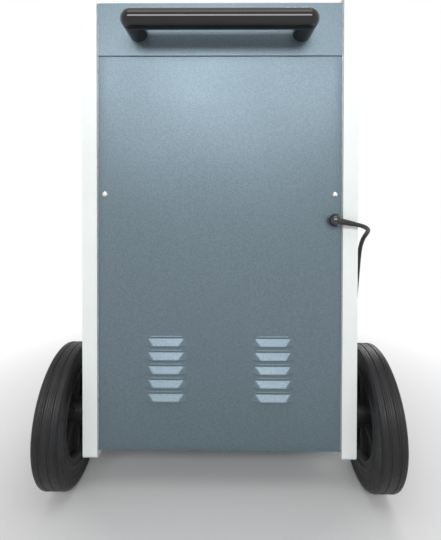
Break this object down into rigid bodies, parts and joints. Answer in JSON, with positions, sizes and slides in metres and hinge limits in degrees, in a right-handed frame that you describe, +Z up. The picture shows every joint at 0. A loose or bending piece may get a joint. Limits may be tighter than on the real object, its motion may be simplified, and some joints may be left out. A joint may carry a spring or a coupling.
{
  "type": "wheeled battery charger",
  "caption": "Upright wheeled car battery charger: white side panels, grey louvred case, sloped control panel, push handle, two solid tyres, front stand and a mains lead.",
  "frame": {"origin": "on the floor, under the middle of the charger without its mains lead", "axes": "+Z up; the front with the controls faces -Y; the back with the handle and the wheels faces +Y; the wheels turn about X"},
  "size_m": [0.5399, 0.421, 0.716],
  "materials": {
    "white_paint": "satin",
    "grey_paint": "hammered satin",
    "zinc_steel": "zinc plated",
    "black_paint": "satin",
    "rubber": "matt",
    "tyre_rubber": "matt, ribbed",
    "black_plastic": "fine grain",
    "gloss_black": "gloss",
    "black_chrome": "black, polished",
    "bright_metal": "polished",
    "red_plastic": "gloss",
    "lamp_lens": "clear lens",
    "white_plastic": "matt",
    "clear_plastic": "clear",
    "brass": "plated",
    "core_steel": "laminated",
    "winding_copper": "varnished copper",
    "bare_aluminium": "extruded"
  },
  "bodies": {
    "charger": {"side_panel_left": "white_paint", "side_panel_right": "white_paint", "side_frame_left": "zinc_steel", "side_frame_right": "zinc_steel", "rear_panel": "grey_paint", "top_cover": "grey_paint", "control_panel": "grey_paint", "front_panel": "grey_paint", "base_tray": "grey_paint", "front_stand": "black_paint", "foot_pads": "rubber", "axle": "zinc_steel", "axle_bracket_left": "black_paint", "axle_bracket_right": "black_paint", "axle_washers": "zinc_steel", "axle_cap_left": "black_plastic", "axle_cap_right": "black_plastic", "handle_bar": "black_chrome", "handle_elbow_left": "black_chrome", "handle_elbow_right": "black_chrome", "handle_bolts": "zinc_steel", "rear_screws": "bright_metal", "front_screws": "bright_metal", "cable_gland": "gloss_black", "gland_nut": "black_plastic", "strain_relief": "rubber", "mains_cord": "rubber", "mains_coil": "rubber", "cord_tie": "rubber", "mains_plug": "black_plastic", "ammeter_case": "black_plastic", "ammeter_dial": "white_plastic", "ammeter_window": "clear_plastic", "selector_switch": "black_plastic", "timer_body": "black_plastic", "rocker_frame": "black_plastic", "breaker_body": "black_plastic", "pilot_lamps": "lamp_lens", "fuse_base": "black_plastic", "fuse_link": "zinc_steel", "fuse_cover": "clear_plastic", "terminal_collars": "red_plastic", "terminal_studs": "brass", "terminal_knobs": "black_plastic", "transformer_core": "core_steel", "transformer_windings": "winding_copper", "transformer_clamps": "core_steel", "rectifier_heatsink": "bare_aluminium", "rectifier_diodes": "brass"},
    "wheel_left": {"tyre_left": "tyre_rubber", "wheel_rim_left": "black_plastic", "wheel_bush_left": "bright_metal"},
    "wheel_right": {"tyre_right": "tyre_rubber", "wheel_rim_right": "black_plastic", "wheel_bush_right": "bright_metal"},
    "selector": {"selector_knob": "black_plastic"},
    "timer": {"timer_knob": "black_plastic"},
    "rocker": {"mains_rocker": "red_plastic"},
    "reset": {"reset_button": "red_plastic"},
    "needle": {"ammeter_needle": "red_plastic"}
  },
  "joints": [
    {"name": "wheel_left_spin", "type": "hinge", "parent": "charger", "child": "wheel_left", "pos_m": [-0.228, 0.1105, 0.1], "axis": [1, 0, 0], "continuous": true},
    {"name": "wheel_right_spin", "type": "hinge", "parent": "charger", "child": "wheel_right", "pos_m": [0.228, 0.1105, 0.1], "axis": [1, 0, 0], "continuous": true},
    {"name": "selector_turn", "type": "hinge", "parent": "charger", "child": "selector", "pos_m": [-0.1, -0.12982, 0.54441], "axis": [0, 0.8304, -0.5572], "range_deg": [0, 150]},
    {"name": "timer_turn", "type": "hinge", "parent": "charger", "child": "timer", "pos_m": [0, -0.12982, 0.54441], "axis": [0, 0.8304, -0.5572], "range_deg": [0, 300]},
    {"name": "rocker_tilt", "type": "hinge", "parent": "charger", "child": "rocker", "pos_m": [0.1, -0.1095, 0.56931], "axis": [1, 0, 0], "range_deg": [0, 24]},
    {"name": "reset_press", "type": "slide", "parent": "charger", "child": "reset", "axis": [0, 0.8304, -0.5572], "range_m": [0, 0.003], "stiffness_N_per_m": 600},
    {"name": "needle_swing", "type": "hinge", "parent": "charger", "child": "needle", "pos_m": [-0.084, -0.07325, 0.6341], "axis": [0, 0.8304, -0.5572], "range_deg": [0, 90], "stiffness_Nm_per_rad": 0.0005, "springref_deg": -17.19}
  ]
}
